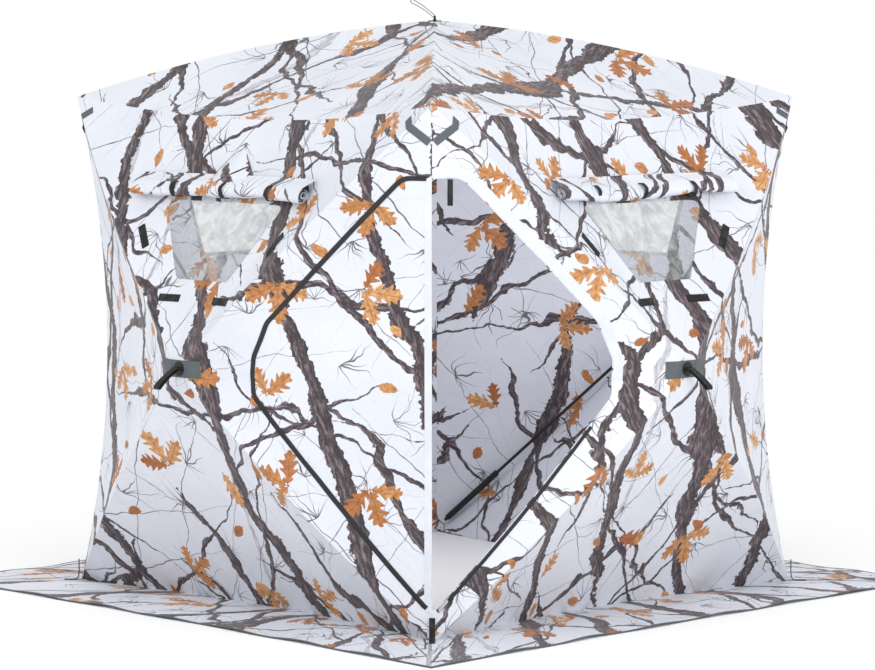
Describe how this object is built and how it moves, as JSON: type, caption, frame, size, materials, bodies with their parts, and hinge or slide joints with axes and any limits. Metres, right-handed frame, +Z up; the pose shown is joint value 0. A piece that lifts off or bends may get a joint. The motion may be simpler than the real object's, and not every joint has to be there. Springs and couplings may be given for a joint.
{
  "type": "pop up ground blind",
  "caption": "Square pop up hub blind of printed snow camouflage cloth, with a corner door, film windows, a hooded vent and a ground skirt.",
  "frame": {"origin": "centre of the floor area on the ground", "axes": "+Z up through the roof hub, the door corner towards +X -Y, one wall facing each of +X, -X, +Y and -Y"},
  "size_m": [2.6106, 2.6106, 2.0848],
  "materials": {
    "printed_cloth": "matte",
    "plain_cloth": "matte",
    "mesh_cloth": "matte",
    "grey_webbing": "matte",
    "black_webbing": "matte",
    "clear_film": "gloss",
    "black_plastic": "matte",
    "rod_fibreglass": "satin",
    "zip_coil": "matte",
    "steel": "satin"
  },
  "bodies": {
    "shell": {"back_left_wall": "printed_cloth", "back_right_wall": "printed_cloth", "closed_zip": "zip_coil", "corner_webbing": "grey_webbing", "cover_ties": "black_webbing", "door_facing": "plain_cloth", "door_gusset": "mesh_cloth", "door_panel": "printed_cloth", "fastening_tabs": "black_webbing", "front_left_wall": "printed_cloth", "front_right_wall": "printed_cloth", "hub_patches": "grey_webbing", "open_zip": "zip_coil", "roof_cloth": "printed_cloth", "skirt": "printed_cloth", "stake_loops": "black_webbing", "vent_hood": "printed_cloth", "vent_mesh": "mesh_cloth", "window_covers": "printed_cloth", "window_films": "clear_film"},
    "front_left_hub": {"front_left_hub": "black_plastic", "front_left_hub_fasteners": "steel"},
    "front_left_rod_upper_left": {"front_left_rod_upper_left": "rod_fibreglass"},
    "front_left_rod_upper_right": {"front_left_rod_upper_right": "rod_fibreglass"},
    "front_left_rod_lower_left": {"front_left_rod_lower_left": "rod_fibreglass"},
    "front_left_rod_lower_right": {"front_left_rod_lower_right": "rod_fibreglass"},
    "front_left_pull_loop": {"front_left_pull_loop": "black_webbing"},
    "front_right_hub": {"front_right_hub": "black_plastic", "front_right_hub_fasteners": "steel"},
    "front_right_rod_upper_left": {"front_right_rod_upper_left": "rod_fibreglass"},
    "front_right_rod_upper_right": {"front_right_rod_upper_right": "rod_fibreglass"},
    "front_right_rod_lower_left": {"front_right_rod_lower_left": "rod_fibreglass"},
    "front_right_rod_lower_right": {"front_right_rod_lower_right": "rod_fibreglass"},
    "front_right_pull_loop": {"front_right_pull_loop": "black_webbing"},
    "back_right_hub": {"back_right_hub": "black_plastic", "back_right_hub_fasteners": "steel"},
    "back_right_rod_upper_left": {"back_right_rod_upper_left": "rod_fibreglass"},
    "back_right_rod_upper_right": {"back_right_rod_upper_right": "rod_fibreglass"},
    "back_right_rod_lower_left": {"back_right_rod_lower_left": "rod_fibreglass"},
    "back_right_rod_lower_right": {"back_right_rod_lower_right": "rod_fibreglass"},
    "back_right_pull_loop": {"back_right_pull_loop": "black_webbing"},
    "back_left_hub": {"back_left_hub": "black_plastic", "back_left_hub_fasteners": "steel"},
    "back_left_rod_upper_left": {"back_left_rod_upper_left": "rod_fibreglass"},
    "back_left_rod_upper_right": {"back_left_rod_upper_right": "rod_fibreglass"},
    "back_left_rod_lower_left": {"back_left_rod_lower_left": "rod_fibreglass"},
    "back_left_rod_lower_right": {"back_left_rod_lower_right": "rod_fibreglass"},
    "back_left_pull_loop": {"back_left_pull_loop": "black_webbing"},
    "roof_hub": {"roof_hub": "black_plastic", "roof_hub_fasteners": "steel"},
    "roof_rod_upper_left": {"roof_rod_upper_left": "rod_fibreglass"},
    "roof_rod_upper_right": {"roof_rod_upper_right": "rod_fibreglass"},
    "roof_rod_lower_left": {"roof_rod_lower_left": "rod_fibreglass"},
    "roof_rod_lower_right": {"roof_rod_lower_right": "rod_fibreglass"},
    "roof_pull_loop": {"roof_pull_loop": "black_webbing"},
    "door_leaf": {"door_leaf": "printed_cloth", "leaf_zip": "zip_coil"},
    "zip_slider": {"zip_slider": "zip_coil"},
    "door_tie": {"door_tie": "black_webbing"}
  },
  "joints": [
    {"name": "front_left_hub_slide", "type": "slide", "parent": "shell", "child": "front_left_hub", "axis": [0, -1, 0], "range_m": [-0.285, 0], "deforming": ["front_left_wall", "door_panel", "closed_zip", "vent_hood", "vent_mesh", "hub_patches"]},
    {"name": "front_left_rod_upper_left_pivot", "type": "hinge", "parent": "front_left_hub", "child": "front_left_rod_upper_left", "pos_m": [-0.01849, -1.1842, 0.86828], "axis": [0.7031, 0, 0.711], "range_deg": [0, 13.94]},
    {"name": "front_left_rod_upper_right_pivot", "type": "hinge", "parent": "front_left_hub", "child": "front_left_rod_upper_right", "pos_m": [0.01849, -1.1842, 0.86828], "axis": [0.7031, 0, -0.711], "range_deg": [0, 13.94]},
    {"name": "front_left_rod_lower_left_pivot", "type": "hinge", "parent": "front_left_hub", "child": "front_left_rod_lower_left", "pos_m": [-0.0189, -1.1842, 0.83215], "axis": [-0.6866, 0, 0.727], "range_deg": [0, 14.26]},
    {"name": "front_left_rod_lower_right_pivot", "type": "hinge", "parent": "front_left_hub", "child": "front_left_rod_lower_right", "pos_m": [0.0189, -1.1842, 0.83215], "axis": [-0.6866, 0, -0.727], "range_deg": [0, 14.26]},
    {"name": "front_left_pull_loop_swing", "type": "hinge", "parent": "front_left_hub", "child": "front_left_pull_loop", "pos_m": [0, -1.217, 0.85], "axis": [-1, 0, 0], "range_deg": [-40, 40]},
    {"name": "front_right_hub_slide", "type": "slide", "parent": "shell", "child": "front_right_hub", "axis": [1, 0, 0], "range_m": [-0.285, 0], "deforming": ["front_right_wall", "door_facing", "open_zip", "door_gusset", "hub_patches"]},
    {"name": "front_right_rod_upper_left_pivot", "type": "hinge", "parent": "front_right_hub", "child": "front_right_rod_upper_left", "pos_m": [1.1842, -0.01849, 0.86828], "axis": [0, 0.7031, 0.711], "range_deg": [0, 13.94]},
    {"name": "front_right_rod_upper_right_pivot", "type": "hinge", "parent": "front_right_hub", "child": "front_right_rod_upper_right", "pos_m": [1.1842, 0.01849, 0.86828], "axis": [0, 0.7031, -0.711], "range_deg": [0, 13.94]},
    {"name": "front_right_rod_lower_left_pivot", "type": "hinge", "parent": "front_right_hub", "child": "front_right_rod_lower_left", "pos_m": [1.1842, -0.0189, 0.83215], "axis": [0, -0.6866, 0.727], "range_deg": [0, 14.26]},
    {"name": "front_right_rod_lower_right_pivot", "type": "hinge", "parent": "front_right_hub", "child": "front_right_rod_lower_right", "pos_m": [1.1842, 0.0189, 0.83215], "axis": [0, -0.6866, -0.727], "range_deg": [0, 14.26]},
    {"name": "front_right_pull_loop_swing", "type": "hinge", "parent": "front_right_hub", "child": "front_right_pull_loop", "pos_m": [1.217, 0, 0.85], "axis": [0, -1, 0], "range_deg": [-40, 40]},
    {"name": "back_right_hub_slide", "type": "slide", "parent": "shell", "child": "back_right_hub", "axis": [0, 1, 0], "range_m": [-0.285, 0], "deforming": ["back_right_wall", "hub_patches"]},
    {"name": "back_right_rod_upper_left_pivot", "type": "hinge", "parent": "back_right_hub", "child": "back_right_rod_upper_left", "pos_m": [0.01849, 1.1842, 0.86828], "axis": [-0.7031, 0, 0.711], "range_deg": [0, 13.94]},
    {"name": "back_right_rod_upper_right_pivot", "type": "hinge", "parent": "back_right_hub", "child": "back_right_rod_upper_right", "pos_m": [-0.01849, 1.1842, 0.86828], "axis": [-0.7031, 0, -0.711], "range_deg": [0, 13.94]},
    {"name": "back_right_rod_lower_left_pivot", "type": "hinge", "parent": "back_right_hub", "child": "back_right_rod_lower_left", "pos_m": [0.0189, 1.1842, 0.83215], "axis": [0.6866, 0, 0.727], "range_deg": [0, 14.26]},
    {"name": "back_right_rod_lower_right_pivot", "type": "hinge", "parent": "back_right_hub", "child": "back_right_rod_lower_right", "pos_m": [-0.0189, 1.1842, 0.83215], "axis": [0.6866, 0, -0.727], "range_deg": [0, 14.26]},
    {"name": "back_right_pull_loop_swing", "type": "hinge", "parent": "back_right_hub", "child": "back_right_pull_loop", "pos_m": [0, 1.217, 0.85], "axis": [1, 0, 0], "range_deg": [-40, 40]},
    {"name": "back_left_hub_slide", "type": "slide", "parent": "shell", "child": "back_left_hub", "axis": [-1, 0, 0], "range_m": [-0.285, 0], "deforming": ["back_left_wall", "hub_patches"]},
    {"name": "back_left_rod_upper_left_pivot", "type": "hinge", "parent": "back_left_hub", "child": "back_left_rod_upper_left", "pos_m": [-1.1842, 0.01849, 0.86828], "axis": [0, -0.7031, 0.711], "range_deg": [0, 13.94]},
    {"name": "back_left_rod_upper_right_pivot", "type": "hinge", "parent": "back_left_hub", "child": "back_left_rod_upper_right", "pos_m": [-1.1842, -0.01849, 0.86828], "axis": [0, -0.7031, -0.711], "range_deg": [0, 13.94]},
    {"name": "back_left_rod_lower_left_pivot", "type": "hinge", "parent": "back_left_hub", "child": "back_left_rod_lower_left", "pos_m": [-1.1842, 0.0189, 0.83215], "axis": [0, 0.6866, 0.727], "range_deg": [0, 14.26]},
    {"name": "back_left_rod_lower_right_pivot", "type": "hinge", "parent": "back_left_hub", "child": "back_left_rod_lower_right", "pos_m": [-1.1842, -0.0189, 0.83215], "axis": [0, 0.6866, -0.727], "range_deg": [0, 14.26]},
    {"name": "back_left_pull_loop_swing", "type": "hinge", "parent": "back_left_hub", "child": "back_left_pull_loop", "pos_m": [-1.217, 0, 0.85], "axis": [0, 1, 0], "range_deg": [-40, 40]},
    {"name": "roof_hub_slide", "type": "slide", "parent": "shell", "child": "roof_hub", "axis": [0, 0, 1], "range_m": [-0.25, 0], "deforming": ["roof_cloth", "hub_patches"]},
    {"name": "roof_rod_upper_left_pivot", "type": "hinge", "parent": "roof_hub", "child": "roof_rod_upper_left", "pos_m": [-0.01838, 0.01838, 1.9892], "axis": [0.7071, 0.7071, 0], "range_deg": [0, 12.24]},
    {"name": "roof_rod_upper_right_pivot", "type": "hinge", "parent": "roof_hub", "child": "roof_rod_upper_right", "pos_m": [0.01838, 0.01838, 1.9892], "axis": [0.7071, -0.7071, 0], "range_deg": [0, 12.24]},
    {"name": "roof_rod_lower_left_pivot", "type": "hinge", "parent": "roof_hub", "child": "roof_rod_lower_left", "pos_m": [-0.01838, -0.01838, 1.9892], "axis": [-0.7071, 0.7071, 0], "range_deg": [0, 12.24]},
    {"name": "roof_rod_lower_right_pivot", "type": "hinge", "parent": "roof_hub", "child": "roof_rod_lower_right", "pos_m": [0.01838, -0.01838, 1.9892], "axis": [-0.7071, -0.7071, 0], "range_deg": [0, 12.24]},
    {"name": "roof_pull_loop_swing", "type": "hinge", "parent": "roof_hub", "child": "roof_pull_loop", "pos_m": [0, 0, 2.022], "axis": [-0.7071, 0.7071, 0], "range_deg": [-25, 40]},
    {"name": "door_leaf_swing", "type": "hinge", "parent": "shell", "child": "door_leaf", "pos_m": [0.886, -0.886, 0.85], "axis": [0, 0, -1], "range_deg": [0, 104.3]},
    {"name": "zip_slider_run", "type": "slide", "parent": "shell", "child": "zip_slider", "axis": [0.2324, 0.6593, 0.7151], "range_m": [0, 0.7]},
    {"name": "door_tie_swing", "type": "hinge", "parent": "shell", "child": "door_tie", "pos_m": [0.934, -0.852, 1.502], "axis": [0.7071, 0.7071, 0], "range_deg": [-60, 18]}
  ],
  "couplings": [
    {"joint": "front_left_rod_upper_left_pivot", "follows": "front_left_hub_slide", "rad_per_m": -0.84141},
    {"joint": "front_left_rod_upper_right_pivot", "follows": "front_left_hub_slide", "rad_per_m": -0.84141},
    {"joint": "front_left_rod_lower_left_pivot", "follows": "front_left_hub_slide", "rad_per_m": -0.86115},
    {"joint": "front_left_rod_lower_right_pivot", "follows": "front_left_hub_slide", "rad_per_m": -0.86115},
    {"joint": "front_right_rod_upper_left_pivot", "follows": "front_right_hub_slide", "rad_per_m": -0.84141},
    {"joint": "front_right_rod_upper_right_pivot", "follows": "front_right_hub_slide", "rad_per_m": -0.84141},
    {"joint": "front_right_rod_lower_left_pivot", "follows": "front_right_hub_slide", "rad_per_m": -0.86115},
    {"joint": "front_right_rod_lower_right_pivot", "follows": "front_right_hub_slide", "rad_per_m": -0.86115},
    {"joint": "back_right_rod_upper_left_pivot", "follows": "back_right_hub_slide", "rad_per_m": -0.84141},
    {"joint": "back_right_rod_upper_right_pivot", "follows": "back_right_hub_slide", "rad_per_m": -0.84141},
    {"joint": "back_right_rod_lower_left_pivot", "follows": "back_right_hub_slide", "rad_per_m": -0.86115},
    {"joint": "back_right_rod_lower_right_pivot", "follows": "back_right_hub_slide", "rad_per_m": -0.86115},
    {"joint": "back_left_rod_upper_left_pivot", "follows": "back_left_hub_slide", "rad_per_m": -0.84141},
    {"joint": "back_left_rod_upper_right_pivot", "follows": "back_left_hub_slide", "rad_per_m": -0.84141},
    {"joint": "back_left_rod_lower_left_pivot", "follows": "back_left_hub_slide", "rad_per_m": -0.86115},
    {"joint": "back_left_rod_lower_right_pivot", "follows": "back_left_hub_slide", "rad_per_m": -0.86115},
    {"joint": "roof_rod_upper_left_pivot", "follows": "roof_hub_slide", "rad_per_m": -0.84026},
    {"joint": "roof_rod_upper_right_pivot", "follows": "roof_hub_slide", "rad_per_m": -0.84026},
    {"joint": "roof_rod_lower_left_pivot", "follows": "roof_hub_slide", "rad_per_m": -0.84026},
    {"joint": "roof_rod_lower_right_pivot", "follows": "roof_hub_slide", "rad_per_m": -0.84026}
  ]
}
